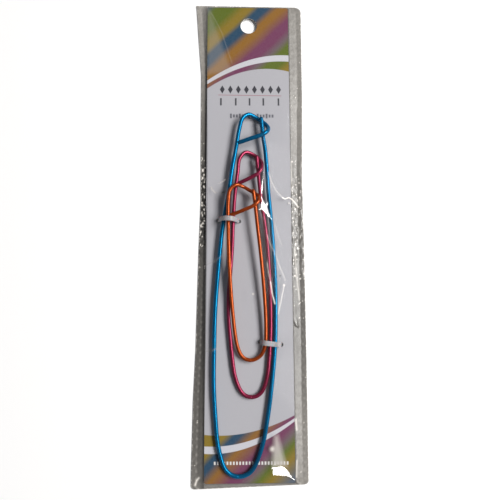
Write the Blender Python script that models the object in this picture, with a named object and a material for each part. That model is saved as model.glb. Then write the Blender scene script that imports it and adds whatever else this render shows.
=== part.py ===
"""A retail pack of three wire stitch holders: a backing card, two ties and a clear sleeve around them.

The pack lies on its back. X runs across the card, +Y runs up it to the hang hole, and +Z is up.
The origin is under the centre of the sleeve. Each holder is one bent wire, made as two pieces that
meet at its bend: the hooked frame, and the pin, which flexes about the bend.
"""

import math

import bmesh
import bpy
from mathutils import Vector

MM = 0.001
GAP = 0.3 * MM

# Sleeve
SLEEVE_WIDTH = 64 * MM
SLEEVE_LENGTH = 281 * MM
FILM = 0.2 * MM
FILM_STEPS_ACROSS = 16
FILM_STEPS_ALONG = 44
SEAM_WIDTH = 5.5 * MM

# Card
CARD_WIDTH = 49.5 * MM
CARD_LENGTH = 278 * MM
CARD_THICKNESS = 0.5 * MM
CARD_Y = 0.6 * MM
HANG_HOLE = 10 * MM
HANG_HOLE_X = 0.5 * MM
HANG_HOLE_Y = 127.6 * MM
TIE_HOLE = 2.4 * MM

# Ties
TIE_THICKNESS = 0.4 * MM
TIE_SPAN = 12.1 * MM
TIE_WIDTH = 2.8 * MM
TIE_STEM_WIDTH = 1.5 * MM
TIE_FOOT = 1.6 * MM

# Heights, from the table up: back film, tie feet, card
CARD_BOTTOM = FILM + GAP + TIE_THICKNESS + GAP
CARD_TOP = CARD_BOTTOM + CARD_THICKNESS
FRONT_FILM_SIDE = FILM + GAP

# Wires
WIRE_SIDES_RESOLUTION = 2
SPANS_PER_POINT = 3
BEND_SPLIT = 0.6 * MM
TIP_TAPER = ((1.0, 0.0), (0.93, 0.5), (0.75, 1.0), (0.4, 1.4))

# A holder is drawn with its bend's lowest point at the origin and its hook towards +Y, in millimetres.
# Legs are (left x, right x, y). Hook points continue the left leg and pin points the right one, each as
# (x, y, level): level -1 passes behind the pin and +1 in front of it. Lift, rise and bow shape how the
# holder stands off the card: at its bend, at its hook, and half way.
HOLDERS = {
    "large": {
        "wire": 2.4,
        "bend_at": (-6.15, -134.35),
        "lean": -2.2,
        "lift": 0.0,
        "rise": 2.95,
        "bow": -0.5,
        "height": 203.4,
        "legs": ((-3.9, 3.9, 0.9), (-7.3, 7.5, 3.8), (-11.5, 12.1, 15.2), (-13.7, 14.75, 30.4),
                 (-15.4, 16.6, 48.4), (-16.0, 17.75, 68.4), (-16.3, 17.7, 85.4), (-15.6, 16.6, 109.4),
                 (-14.0, 14.1, 135.4), (-11.2, 11.4, 157.4)),
        "hook": ((-9.8, 170.4, 0), (-8.1, 182.4, 0), (-6.7, 193.6, 0), (-4.9, 200.5, 0), (-1.4, 203.4, -0.4),
                 (3.2, 202.1, -1), (6.6, 200.1, -1.05), (9.3, 197.5, -0.7), (10.3, 194.6, 0.1),
                 (9.1, 191.6, 0.95), (5.6, 189.4, 1.1), (1.2, 187.8, 1), (-2.6, 186.6, 0.7),
                 (-6.0, 185.6, 0.3)),
        "pin": ((10.3, 169.4, 0), (8.9, 181.4, 0), (7.4, 190.0, 0), (6.0, 200.3, 0)),
        "colour": (0.02, 0.27, 0.55),
    },
    "medium": {
        "wire": 2.2,
        "bend_at": (1.27, -93.1),
        "lean": 0.7,
        "lift": 0.0,
        "rise": 2.8,
        "bow": -0.6,
        "height": 138.9,
        "legs": ((-3.4, 3.4, 0.9), (-6.1, 6.1, 3.6), (-9.1, 8.8, 11.4), (-10.5, 10.1, 21.4),
                 (-11.5, 11.0, 32.4), (-12.3, 11.4, 45.4), (-12.0, 11.3, 57.4), (-10.7, 11.0, 71.4),
                 (-9.7, 10.3, 84.4)),
        "hook": ((-9.1, 97.4, 0), (-8.4, 107.4, 0), (-7.5, 116.4, 0), (-6.1, 126.4, 0), (-4.8, 134.9, 0),
                 (-1.2, 138.9, -0.4), (3.4, 137.8, -1), (5.9, 135.9, -1.05), (7.8, 133.4, -0.6),
                 (8.0, 130.6, 0.35), (7.4, 127.5, 1), (5.1, 124.9, 1.1), (1.5, 123.0, 0.95),
                 (-2.0, 121.5, 0.6), (-5.3, 120.4, 0.1)),
        "pin": ((9.05, 96.4, 0), (7.4, 108.4, 0), (6.3, 120.4, 0), (5.5, 131.4, 0), (5.2, 135.4, 0)),
        "colour": (0.52, 0.05, 0.17),
    },
    "small": {
        "wire": 2.1,
        "bend_at": (1.06, -73.15),
        "lean": 3.4,
        "lift": 0.8,
        "rise": 4.7,
        "bow": 0.4,
        "height": 98.9,
        "legs": ((-3.1, 3.3, 0.8), (-5.3, 6.0, 2.9), (-7.2, 8.3, 8.0), (-8.1, 9.1, 15.0), (-8.6, 9.5, 24.0),
                 (-8.9, 9.6, 34.0), (-9.0, 9.4, 47.0), (-8.8, 8.9, 61.0), (-8.3, 8.2, 75.0)),
        "hook": ((-7.5, 89.0, 0), (-6.1, 95.9, 0), (-2.4, 98.8, -0.15), (1.7, 97.9, -1), (5.4, 95.5, -1.05),
                 (8.4, 93.4, -0.95), (10.0, 91.1, 0.05), (9.3, 87.8, 0.95), (6.0, 85.3, 1.1), (1.6, 83.7, 1),
                 (-2.2, 82.5, 0.7), (-6.3, 81.4, 0.3)),
        "pin": ((7.8, 85.0, 0), (7.5, 90.0, 0), (7.1, 94.3, 0)),
        "colour": (0.8, 0.22, 0.04),
    },
}

# Each tie: the middle of its span, how far it is turned in the card's plane in degrees, and its arch,
# as (share of the span, height over the card in millimetres).
TIES = {
    "upper_tie": {
        "middle": (-11.7, 5.5),
        "turn": -2.8,
        "arch": ((0.04, 2.4), (0.14, 5.4), (0.32, 8.5), (0.5, 9.2), (0.66, 8.9), (0.84, 6.4), (0.96, 2.4)),
    },
    "lower_tie": {
        "middle": (11.95, -64.2),
        "turn": -7.9,
        "arch": ((0.04, 2.4), (0.12, 4.2), (0.26, 5.0), (0.42, 4.8), (0.66, 4.2), (0.86, 3.9), (0.96, 2.4)),
    },
}

# Height of the front film along the middle of the sleeve, as (y, height over the card) in millimetres
FILM_CROWN = ((-140.5, 0.3), (-137, 3.6), (-125, 5.2), (-80, 5.6), (-64, 6.6), (-40, 6.8), (-10, 8.8),
              (5, 11), (17, 11.4), (28, 10.8), (40, 9.4), (58, 9.2), (70, 9.0), (78, 5), (92, 1.4),
              (108, 0.3), (140.5, 0.3))
FILM_SHOULDER = 25.2 * MM
FILM_SQUARENESS = 6


def smooth_through(points, spans):
    """Points on a centripetal Catmull-Rom curve through the given ones."""
    ends = [2 * points[0] - points[1], *points, 2 * points[-1] - points[-2]]
    found = []
    for before, start, end, after in zip(ends, ends[1:], ends[2:], ends[3:]):
        knots = [0.0]
        for one, other in ((before, start), (start, end), (end, after)):
            knots.append(knots[-1] + math.sqrt((other - one).length))
        t0, t1, t2, t3 = knots
        for step in range(spans):
            t = t1 + (t2 - t1) * step / spans
            a = before.lerp(start, t / t1)
            b = start.lerp(end, (t - t1) / (t2 - t1))
            c = end.lerp(after, (t - t2) / (t3 - t2))
            d = a.lerp(b, t / t2)
            e = b.lerp(c, (t - t1) / (t3 - t1))
            found.append(d.lerp(e, (t - t1) / (t2 - t1)))
    return [*found, points[-1].copy()]


def interpolate(table, at):
    """The value at a place in a table of (place, value), with an eased step between neighbours."""
    for (low, first), (high, second) in zip(table, table[1:]):
        if at <= high:
            share = max(0.0, (at - low) / (high - low))
            return first + (second - first) * share * share * (3 - 2 * share)
    return table[-1][1]


def material(name, colour, roughness, metallic=0.0, alpha=1.0):
    made = bpy.data.materials.new(name)
    made.use_nodes = True
    shader = made.node_tree.nodes["Principled BSDF"]
    shader.inputs["Base Color"].default_value = (*colour, 1)
    shader.inputs["Roughness"].default_value = roughness
    shader.inputs["Metallic"].default_value = metallic
    shader.inputs["Alpha"].default_value = alpha
    return made


def add(name, data, look, parent=None):
    made = bpy.data.objects.new(name, data)
    made.data.materials.append(look)
    made.parent = parent
    bpy.context.scene.collection.objects.link(made)
    return made


def empty(name, location, turn=0.0):
    made = bpy.data.objects.new(name, None)
    made.location = location
    made.rotation_euler = (0, 0, math.radians(turn))
    bpy.context.scene.collection.objects.link(made)
    return made


def plate(name, width, length, bottom, thickness, centre_y, look):
    shape = bmesh.new()
    bmesh.ops.create_cube(shape, size=1)
    bmesh.ops.scale(shape, vec=(width, length, thickness), verts=shape.verts)
    mesh = bpy.data.meshes.new(name)
    shape.to_mesh(mesh)
    shape.free()
    made = add(name, mesh, look)
    made.location = (0, centre_y, bottom + thickness / 2)
    return made


def drill(target, name, diameter, x, y, sides):
    """Cuts a round hole straight through in Z."""
    shape = bmesh.new()
    bmesh.ops.create_cone(
        shape, cap_ends=True, segments=sides, radius1=diameter / 2, radius2=diameter / 2, depth=40 * MM
    )
    mesh = bpy.data.meshes.new(name)
    shape.to_mesh(mesh)
    shape.free()
    cutter = bpy.data.objects.new(name, mesh)
    cutter.location = (x, y, 0)
    cutter.hide_render = True
    cutter.display_type = "WIRE"
    bpy.context.scene.collection.objects.link(cutter)
    cut = target.modifiers.new(name, "BOOLEAN")
    cut.operation = "DIFFERENCE"
    cut.object = cutter


def wire(name, points, radii, diameter, look, parent):
    """A round wire along the points, in the parent's frame."""
    curve = bpy.data.curves.new(name, "CURVE")
    curve.dimensions = "3D"
    curve.bevel_depth = diameter / 2
    curve.bevel_resolution = WIRE_SIDES_RESOLUTION
    curve.use_fill_caps = True
    spline = curve.splines.new("POLY")
    spline.points.add(len(points) - 1)
    for point, place, radius in zip(spline.points, points, radii):
        point.co = (*place, 1)
        point.radius = radius
    spline.use_smooth = True
    return add(name, curve, look, parent)


def holder_lines(shape):
    """The centre lines of a holder's frame and pin, from the bend outwards, in its own frame."""
    pitch = shape["wire"] * MM + GAP

    def placed(x, y, level=0.0):
        share = y / shape["height"]
        swell = shape["rise"] * share + 4 * shape["bow"] * share * (1 - share)
        return Vector((x * MM, y * MM, swell * MM + level * pitch))

    frame_leg = [placed(left, y) for left, _, y in shape["legs"]]
    frame_leg += [placed(*point) for point in shape["hook"]]
    pin_leg = [placed(right, y) for _, right, y in shape["legs"]]
    pin_leg += [placed(*point) for point in shape["pin"]]
    whole = smooth_through([*reversed(frame_leg), placed(0, 0), *pin_leg], SPANS_PER_POINT)
    at_bend = len(frame_leg) * SPANS_PER_POINT
    flat = [Vector((share * BEND_SPLIT, 0, 0)) for share in (0.5, 1.5)]
    return [-flat[0], -flat[1], *reversed(whole[:at_bend])], [*flat, *whole[at_bend + 1 :]]


def with_rounded_tip(line, diameter):
    """The line with a few points past its end, and each point's share of the wire's radius."""
    on = (line[-1] - line[-2]).normalized()
    radii = [1.0] * (len(line) - 1)
    line = line[:-1] + [line[-1] + on * back * diameter / 2 for _, back in TIP_TAPER]
    return line, radii + [share for share, _ in TIP_TAPER]


def holder(name, shape):
    diameter = shape["wire"] * MM
    x, y = shape["bend_at"]
    height = CARD_TOP + GAP + diameter / 2 + shape["lift"] * MM
    place = empty(f"{name}_holder", (x * MM, y * MM, height), shape["lean"])
    frame, pin = holder_lines(shape)
    for part, line, tapered in (("frame", frame, False), ("pin", pin, True)):
        radii = [1.0] * len(line)
        if tapered:
            line, radii = with_rounded_tip(line, diameter)
        look = material(f"{name}_{part}_anodised", shape["colour"], 0.28, 0.9)
        wire(f"{name}_holder_{part}", line, radii, diameter, look, place)


def tie(name, shape):
    """A flat strip that comes up through one hole, arches over the wires and goes down the other."""
    foot = FILM + GAP + TIE_THICKNESS / 2
    stem_top = CARD_TOP + 0.4 * MM
    half = TIE_SPAN / 2
    path = [(-half + TIE_FOOT, foot, TIE_WIDTH), (-half, foot, TIE_WIDTH), (-half, stem_top, TIE_STEM_WIDTH)]
    for share, height in shape["arch"]:
        path.append((-half + share * TIE_SPAN, CARD_TOP + height * MM, TIE_WIDTH))
    path += [(half, stem_top, TIE_STEM_WIDTH), (half, foot, TIE_WIDTH), (half - TIE_FOOT, foot, TIE_WIDTH)]
    shape_mesh = bmesh.new()
    rings = []
    for index, (x, z, width) in enumerate(path):
        before = Vector(path[max(index - 1, 0)][:2])
        after = Vector(path[min(index + 1, len(path) - 1)][:2])
        here = Vector((x, z))
        along = (after - before).normalized()
        into = (here - before).normalized() if index else along
        across = Vector((-along.y, along.x)) * TIE_THICKNESS / 2 / max(0.7, along.dot(into))
        corners = [(here + across, -1), (here + across, 1), (here - across, 1), (here - across, -1)]
        rings.append([shape_mesh.verts.new((c.x, side * width / 2, c.y)) for c, side in corners])
    for one, other in zip(rings, rings[1:]):
        for k in range(4):
            shape_mesh.faces.new((one[k], one[(k + 1) % 4], other[(k + 1) % 4], other[k]))
    shape_mesh.faces.new(rings[0][::-1])
    shape_mesh.faces.new(rings[-1])
    bmesh.ops.recalc_face_normals(shape_mesh, faces=shape_mesh.faces)
    mesh = bpy.data.meshes.new(name)
    shape_mesh.to_mesh(mesh)
    shape_mesh.free()
    made = add(name, mesh, material(f"{name}_plastic", (0.72, 0.74, 0.76), 0.35, alpha=0.6))
    x, y = shape["middle"]
    made.location = (x * MM, y * MM, 0)
    made.rotation_euler = (0, 0, math.radians(shape["turn"]))


def tie_holes():
    """The four punched holes of the card, as (x, y)."""
    for shape in TIES.values():
        x, y = shape["middle"]
        turn = math.radians(shape["turn"])
        for side in (-1, 1):
            reach = side * TIE_SPAN / 2
            yield x * MM + reach * math.cos(turn), y * MM + reach * math.sin(turn)


def front_film_height(x, y):
    """The underside of the front film: down on the seams, over the card's edges, humped over the wires."""
    if abs(x) > FILM_SHOULDER:
        return FRONT_FILM_SIDE
    hump = interpolate(FILM_CROWN, y / MM) * MM - GAP
    return CARD_TOP + GAP + hump * (1 - (abs(x) / FILM_SHOULDER) ** FILM_SQUARENESS)


def front_film(look):
    half_width, half_length = SLEEVE_WIDTH / 2, SLEEVE_LENGTH / 2
    seam = half_width - SEAM_WIDTH
    crossed = [FILM_SHOULDER * (2 * k / FILM_STEPS_ACROSS - 1) for k in range(FILM_STEPS_ACROSS + 1)]
    columns = [-half_width, -seam, *crossed, seam, half_width]
    rows = [half_length * (2 * k / FILM_STEPS_ALONG - 1) for k in range(FILM_STEPS_ALONG + 1)]
    shape = bmesh.new()
    layers = []
    for lift in (0.0, FILM):
        layer = [[shape.verts.new((x, y, front_film_height(x, y) + lift)) for x in columns] for y in rows]
        layers.append(layer)
    under, over = layers
    for r in range(len(rows) - 1):
        for c in range(len(columns) - 1):
            for layer in layers:
                shape.faces.new((layer[r][c], layer[r][c + 1], layer[r + 1][c + 1], layer[r + 1][c]))
    edge = [(0, c) for c in range(len(columns))]
    edge += [(r, len(columns) - 1) for r in range(1, len(rows))]
    edge += [(len(rows) - 1, c) for c in range(len(columns) - 2, -1, -1)]
    edge += [(r, 0) for r in range(len(rows) - 2, 0, -1)]
    for (r, c), (s, d) in zip(edge, edge[1:] + edge[:1]):
        shape.faces.new((under[r][c], under[s][d], over[s][d], over[r][c]))
    bmesh.ops.recalc_face_normals(shape, faces=shape.faces)
    mesh = bpy.data.meshes.new("sleeve_front")
    shape.to_mesh(mesh)
    shape.free()
    return add("sleeve_front", mesh, look)


def main():
    for old in list(bpy.data.objects):
        bpy.data.objects.remove(old)

    clear = {"colour": (0.8, 0.82, 0.83), "roughness": 0.12, "alpha": 0.25}
    back = plate("sleeve_back", SLEEVE_WIDTH, SLEEVE_LENGTH, 0, FILM, 0, material("back_film", **clear))
    card = plate(
        "backing_card", CARD_WIDTH, CARD_LENGTH, CARD_BOTTOM, CARD_THICKNESS, CARD_Y,
        material("printed_board", (0.6, 0.6, 0.65), 0.5),
    )
    front = front_film(material("front_film", **clear))
    for target in (back, card, front):
        drill(target, f"{target.name}_hang_hole_cutter", HANG_HOLE, HANG_HOLE_X, HANG_HOLE_Y, 32)
    for number, (x, y) in enumerate(tie_holes(), 1):
        drill(card, f"tie_hole_cutter_{number}", TIE_HOLE, x, y, 12)
    for name, shape in TIES.items():
        tie(name, shape)
    for name, shape in HOLDERS.items():
        holder(name, shape)


main()
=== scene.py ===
"""Looks for a retail pack of three wire stitch holders on a printed card in a clear film sleeve.

The pack lies on its back, +Y towards the hang hole and +Z up. The camera looks down on it. Sizes here are
in millimetres unless a name says otherwise, and become metres where a mesh is made.
"""

import math
from types import SimpleNamespace

import bmesh
import bpy
import numpy as np
from mathutils import Matrix, Vector


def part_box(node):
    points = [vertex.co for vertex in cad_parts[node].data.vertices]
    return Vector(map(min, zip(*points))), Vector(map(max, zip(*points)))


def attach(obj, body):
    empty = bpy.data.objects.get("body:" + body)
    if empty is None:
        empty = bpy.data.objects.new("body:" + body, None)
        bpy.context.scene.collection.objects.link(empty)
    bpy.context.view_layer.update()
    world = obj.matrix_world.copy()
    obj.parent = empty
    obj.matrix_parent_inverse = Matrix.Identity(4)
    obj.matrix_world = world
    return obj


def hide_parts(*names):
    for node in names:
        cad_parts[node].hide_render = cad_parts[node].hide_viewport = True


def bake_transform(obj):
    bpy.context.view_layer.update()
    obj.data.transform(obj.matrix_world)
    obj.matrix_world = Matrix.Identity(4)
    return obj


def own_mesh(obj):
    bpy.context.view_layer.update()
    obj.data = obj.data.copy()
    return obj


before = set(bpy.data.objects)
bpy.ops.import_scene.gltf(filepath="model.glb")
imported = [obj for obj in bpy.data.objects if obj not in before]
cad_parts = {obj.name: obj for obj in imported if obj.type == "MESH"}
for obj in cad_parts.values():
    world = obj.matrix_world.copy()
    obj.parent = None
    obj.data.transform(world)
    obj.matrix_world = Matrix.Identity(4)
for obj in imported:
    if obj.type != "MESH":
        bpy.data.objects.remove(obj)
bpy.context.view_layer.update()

MM = 0.001

# Heights and places in the frame, and the CAD's sizes of holes and ties
CARD_LOW, CARD_HIGH = (Vector(corner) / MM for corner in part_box("backing_card"))
FILM_LOW, FILM_HIGH = (Vector(corner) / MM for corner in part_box("sleeve_back"))
CARD_TOP = CARD_HIGH.z
GAP = 0.3
HANG_HOLE = 10.0
HANG_HOLE_AT = (0.5, 127.6)
TIE_HOLE = 2.4
TIE_SPAN = 12.1
TIE_WIDTH = 2.8
TIE_THICKNESS = 0.4
TIE_STEM_TOP = 0.4
TIE_STEM_WIDTH = 1.9
TIE_FOOT = 1.6
TIE_FOOT_HEIGHT = 0.7

# The same wires as in the CAD, each in its own frame: its bend is the origin, and +Y runs up between its
# legs, leaning by some degrees. "legs" are (left x, right x, y), from the bend up. "hook" and "pin" carry on
# the left and the right leg, as (x, y, level), where a level of 1 is one wire and one gap higher. "lift"
# raises the whole wire, "rise" is how much higher its head is than its bend, and "bow" how far its middle is
# over a straight line between them.
HOLDERS = {
    "large": {
        "wire": 2.4,
        "bend_at": (-6.15, -134.35),
        "lean": -2.2,
        "lift": 0.0,
        "rise": 2.95,
        "bow": -0.5,
        "height": 203.4,
        "legs": ((-3.9, 3.9, 0.9), (-7.3, 7.5, 3.8), (-11.5, 12.1, 15.2), (-13.7, 14.75, 30.4),
                 (-15.4, 16.6, 48.4), (-16.0, 17.75, 68.4), (-16.3, 17.7, 85.4), (-15.6, 16.6, 109.4),
                 (-14.0, 14.1, 135.4), (-11.2, 11.4, 157.4)),
        "hook": ((-9.8, 170.4, 0), (-8.1, 182.4, 0), (-6.7, 193.6, 0), (-4.9, 200.5, 0), (-1.4, 203.4, -0.4),
                 (3.2, 202.1, -1), (6.6, 200.1, -1.05), (9.3, 197.5, -0.7), (10.3, 194.6, 0.1),
                 (9.1, 191.6, 0.95), (5.6, 189.4, 1.1), (1.2, 187.8, 1), (-2.6, 186.6, 0.7),
                 (-6.0, 185.6, 0.3)),
        "pin": ((10.3, 169.4, 0), (8.9, 181.4, 0), (7.4, 190.0, 0), (6.0, 200.3, 0)),
    },
    "medium": {
        "wire": 2.2,
        "bend_at": (1.27, -93.1),
        "lean": 0.7,
        "lift": 0.0,
        "rise": 2.8,
        "bow": -0.6,
        "height": 138.9,
        "legs": ((-3.4, 3.4, 0.9), (-6.1, 6.1, 3.6), (-9.1, 8.8, 11.4), (-10.5, 10.1, 21.4),
                 (-11.5, 11.0, 32.4), (-12.3, 11.4, 45.4), (-12.0, 11.3, 57.4), (-10.7, 11.0, 71.4),
                 (-9.7, 10.3, 84.4)),
        "hook": ((-9.1, 97.4, 0), (-8.4, 107.4, 0), (-7.5, 116.4, 0), (-6.1, 126.4, 0), (-4.8, 134.9, 0),
                 (-1.2, 138.9, -0.4), (3.4, 137.8, -1), (5.9, 135.9, -1.05), (7.8, 133.4, -0.6),
                 (8.0, 130.6, 0.35), (7.4, 127.5, 1), (5.1, 124.9, 1.1), (1.5, 123.0, 0.95),
                 (-2.0, 121.5, 0.6), (-5.3, 120.4, 0.1)),
        "pin": ((9.05, 96.4, 0), (7.4, 108.4, 0), (6.3, 120.4, 0), (5.5, 131.4, 0), (5.2, 135.4, 0)),
    },
    "small": {
        "wire": 2.1,
        "bend_at": (1.06, -73.15),
        "lean": 3.4,
        "lift": 0.8,
        "rise": 4.7,
        "bow": 0.4,
        "height": 98.9,
        "legs": ((-3.1, 3.3, 0.8), (-5.3, 6.0, 2.9), (-7.2, 8.3, 8.0), (-8.1, 9.1, 15.0), (-8.6, 9.5, 24.0),
                 (-8.9, 9.6, 34.0), (-9.0, 9.4, 47.0), (-8.8, 8.9, 61.0), (-8.3, 8.2, 75.0)),
        "hook": ((-7.5, 89.0, 0), (-6.1, 95.9, 0), (-2.4, 98.8, -0.15), (1.7, 97.9, -1), (5.4, 95.5, -1.05),
                 (8.4, 93.4, -0.95), (10.0, 91.1, 0.05), (9.3, 87.8, 0.95), (6.0, 85.3, 1.1), (1.6, 83.7, 1),
                 (-2.2, 82.5, 0.7), (-6.3, 81.4, 0.3)),
        "pin": ((7.8, 85.0, 0), (7.5, 90.0, 0), (7.1, 94.3, 0)),
    },
}
# The ties: each one's middle, its turn in degrees, and its arch as (share of the span, height over the card)
TIES = {
    "upper_tie": {
        "middle": (-11.7, 5.5),
        "turn": -2.8,
        "arch": ((0.04, 2.4), (0.14, 5.4), (0.32, 8.5), (0.5, 9.2), (0.66, 8.9), (0.84, 6.4), (0.96, 2.4)),
    },
    "lower_tie": {
        "middle": (11.95, -64.2),
        "turn": -7.9,
        "arch": ((0.04, 2.4), (0.12, 4.2), (0.26, 5.0), (0.42, 4.8), (0.66, 4.2), (0.86, 3.9), (0.96, 2.4)),
    },
}

# Sides of a wire and a tie, and steps between two given points of their lines
WIRE_SIDES = 20
WIRE_SPANS = 10
TIE_SIDES = 16
TIE_SPANS = 6
# A wire's rounded tip: shares of its radius, and how far past its end they are, in radii
TIP_TAPER = ((1.0, 0.0), (0.97, 0.35), (0.86, 0.72), (0.66, 1.04), (0.36, 1.27), (0.1, 1.36))

# Camera: held over the pack's lower half, with a short lens
CAMERA_AT = (-4.66, -44.6, 258.6)
CAMERA_AIM = (0.65, -11.4, 1.7)
CAMERA_ROLL = -0.27
CAMERA_LENS = 32.4
CAMERA_SENSOR = 36.0
CAMERA_CLIP = 10.0

# A white floor, reaching this far each way, and just under the pack
FLOOR_REACH = 1200.0
FLOOR_DROP = 0.2
FLOOR_WHITE = (0.97, 0.97, 0.97)

# A long key lamp and a broad weak one, both on the right, with dim fill from all round
KEY_AT = (1185.0, 180.0, 1320.0)
KEY_SIZE = 560.0
KEY_LENGTH = 1500.0
KEY_POWER = 44.6
KEY_COLOUR = (1.0, 0.985, 0.96)
SIDE_AT = (1440.0, 300.0, 1140.0)
SIDE_SIZE = 1800.0
SIDE_POWER = 8.1
SIDE_COLOUR = (0.97, 0.98, 1.0)
FILL_STRENGTH = 0.15
FILL_COLOUR = (0.93, 0.95, 1.0)
BACKDROP_COLOUR = (0.95, 0.95, 0.96)


# -------- camera, floor and lights


def add_object(name, data):
    made = bpy.data.objects.new(name, data)
    bpy.context.scene.collection.objects.link(made)
    return made


def aim(thing, at, target, roll=0.0):
    """Points a camera or lamp at a target, with +Y towards the top of its view, turned by roll degrees."""
    back = (Vector(at) - Vector(target)).normalized()
    right = Vector((0, 1, 0)).cross(back).normalized()
    turned = Matrix.Rotation(math.radians(roll), 3, "Z")
    facing = Matrix((right, back.cross(right), back)).transposed() @ turned
    thing.matrix_world = Matrix.Translation(Vector(at) * MM) @ facing.to_4x4()


def make_camera():
    camera = bpy.data.cameras.new("camera")
    camera.lens = CAMERA_LENS
    camera.sensor_width = CAMERA_SENSOR
    camera.clip_start = CAMERA_CLIP * MM
    held = add_object("camera", camera)
    aim(held, CAMERA_AT, CAMERA_AIM, CAMERA_ROLL)
    bpy.context.scene.camera = held


def make_stage():
    ways = ((-1, -1), (1, -1), (1, 1), (-1, 1))
    corners = [(x * FLOOR_REACH, y * FLOOR_REACH, -FLOOR_DROP) for x, y in ways]
    look = plain_material("floor_paper", FLOOR_WHITE, 0.9)
    mesh_object("floor", corners, [(0, 1, 2, 3)], look, smooth=False)


def area_light(name, at, size, length, power, colour):
    """A soft lamp facing the pack, of some size across it and some length along it."""
    lamp = bpy.data.lights.new(name, "AREA")
    lamp.shape = "RECTANGLE"
    lamp.size = size * MM
    lamp.size_y = length * MM
    lamp.energy = power
    lamp.color = colour
    aim(add_object(name, lamp), at, (0, 0, 0))


def studio_world():
    """Dim fill light from all round, which a pale backdrop hides from the camera."""
    world = bpy.data.worlds.new("studio")
    world.use_nodes = True
    tree = world.node_tree
    fill = tree.nodes["Background"]
    fill.inputs["Color"].default_value = (*FILL_COLOUR, 1)
    fill.inputs["Strength"].default_value = FILL_STRENGTH
    backdrop = tree.nodes.new("ShaderNodeBackground")
    backdrop.inputs["Color"].default_value = (*BACKDROP_COLOUR, 1)
    seen = tree.nodes.new("ShaderNodeLightPath").outputs["Is Camera Ray"]
    either = tree.nodes.new("ShaderNodeMixShader")
    for source, socket in zip((seen, fill.outputs[0], backdrop.outputs[0]), either.inputs):
        tree.links.new(source, socket)
    tree.links.new(either.outputs[0], tree.nodes["World Output"].inputs["Surface"])
    return world


def make_lights():
    area_light("key", KEY_AT, KEY_SIZE, KEY_LENGTH, KEY_POWER, KEY_COLOUR)
    area_light("soft_side", SIDE_AT, SIDE_SIZE, SIDE_SIZE, SIDE_POWER, SIDE_COLOUR)
    bpy.context.scene.world = studio_world()
    bpy.context.scene.view_settings.view_transform = "Standard"


# -------- material helpers

# Where nearly all of a noise texture's values lie
NOISE_SPAN = (0.3, 0.7)


def plain_material(name, colour, roughness, metallic=0.0):
    made = bpy.data.materials.new(name)
    made.use_nodes = True
    shader = made.node_tree.nodes["Principled BSDF"]
    shader.inputs["Base Color"].default_value = (*colour, 1)
    shader.inputs["Roughness"].default_value = roughness
    shader.inputs["Metallic"].default_value = metallic
    return made


class Nodes:
    """A short way to write node trees: each method adds a node and returns its main output."""

    def __init__(self, look):
        self.tree = look.node_tree
        self.shader = self.tree.nodes["Principled BSDF"]

    def put(self, socket, value):
        if isinstance(value, bpy.types.NodeSocket):
            self.tree.links.new(value, socket)
        elif isinstance(value, (tuple, list)) and len(socket.default_value) == 4 and len(value) == 3:
            socket.default_value = (*value, 1)
        else:
            socket.default_value = value

    def math(self, kind, a, b):
        node = self.tree.nodes.new("ShaderNodeMath")
        node.operation = kind
        self.put(node.inputs[0], a)
        self.put(node.inputs[1], b)
        return node.outputs[0]

    def spread(self, value, low, high, to_low=0.0, to_high=1.0):
        node = self.tree.nodes.new("ShaderNodeMapRange")
        for socket, number in zip(node.inputs, (value, low, high, to_low, to_high)):
            self.put(socket, number)
        return node.outputs[0]

    def mix(self, share, a, b):
        """A mix of two colours; a Mix node's sockets 6 and 7, and its output 2, are the colour ones."""
        node = self.tree.nodes.new("ShaderNodeMix")
        node.data_type = "RGBA"
        self.put(node.inputs["Factor"], share)
        self.put(node.inputs[6], a)
        self.put(node.inputs[7], b)
        return node.outputs[2]

    def place(self):
        """Object coordinates, which are the frame's own metres."""
        return self.tree.nodes.new("ShaderNodeTexCoord").outputs["Object"]

    def split(self, vector):
        node = self.tree.nodes.new("ShaderNodeSeparateXYZ")
        self.put(node.inputs[0], vector)
        return node.outputs

    def scaled(self, vector, scale):
        node = self.tree.nodes.new("ShaderNodeVectorMath")
        node.operation = "MULTIPLY"
        self.put(node.inputs[0], vector)
        self.put(node.inputs[1], scale)
        return node.outputs[0]

    def noise(self, vector, scale, detail):
        node = self.tree.nodes.new("ShaderNodeTexNoise")
        self.put(node.inputs["Vector"], vector)
        self.put(node.inputs["Scale"], scale)
        self.put(node.inputs["Detail"], detail)
        return node.outputs["Fac"]

    def attribute(self, name, output="Fac"):
        node = self.tree.nodes.new("ShaderNodeAttribute")
        node.attribute_name = name
        return node.outputs[output]

    def ramp(self, share, stops):
        node = self.tree.nodes.new("ShaderNodeValToRGB")
        self.put(node.inputs[0], share)
        elements = node.color_ramp.elements
        for element, (at, colour) in zip(elements, (stops[0], stops[-1])):
            element.position = at
            element.color = (*colour, 1)
        for at, colour in stops[1:-1]:
            elements.new(at).color = (*colour, 1)
        return node.outputs[0]

    def bump(self, height, strength, distance):
        node = self.tree.nodes.new("ShaderNodeBump")
        self.put(node.inputs["Strength"], strength)
        self.put(node.inputs["Distance"], distance)
        self.put(node.inputs["Height"], height)
        self.put(self.shader.inputs["Normal"], node.outputs[0])

    def set(self, **values):
        for name, value in values.items():
            self.put(self.shader.inputs[name.replace("_", " ")], value)


# -------- mesh helpers


def mesh_object(name, points, faces, look, smooth=True):
    """A mesh from points in millimetres."""
    data = bpy.data.meshes.new(name)
    data.from_pydata([tuple(float(c) * MM for c in p) for p in points], [], faces)
    data.materials.append(look)
    if smooth:
        data.shade_smooth()
    return add_object(name, data)


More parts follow.
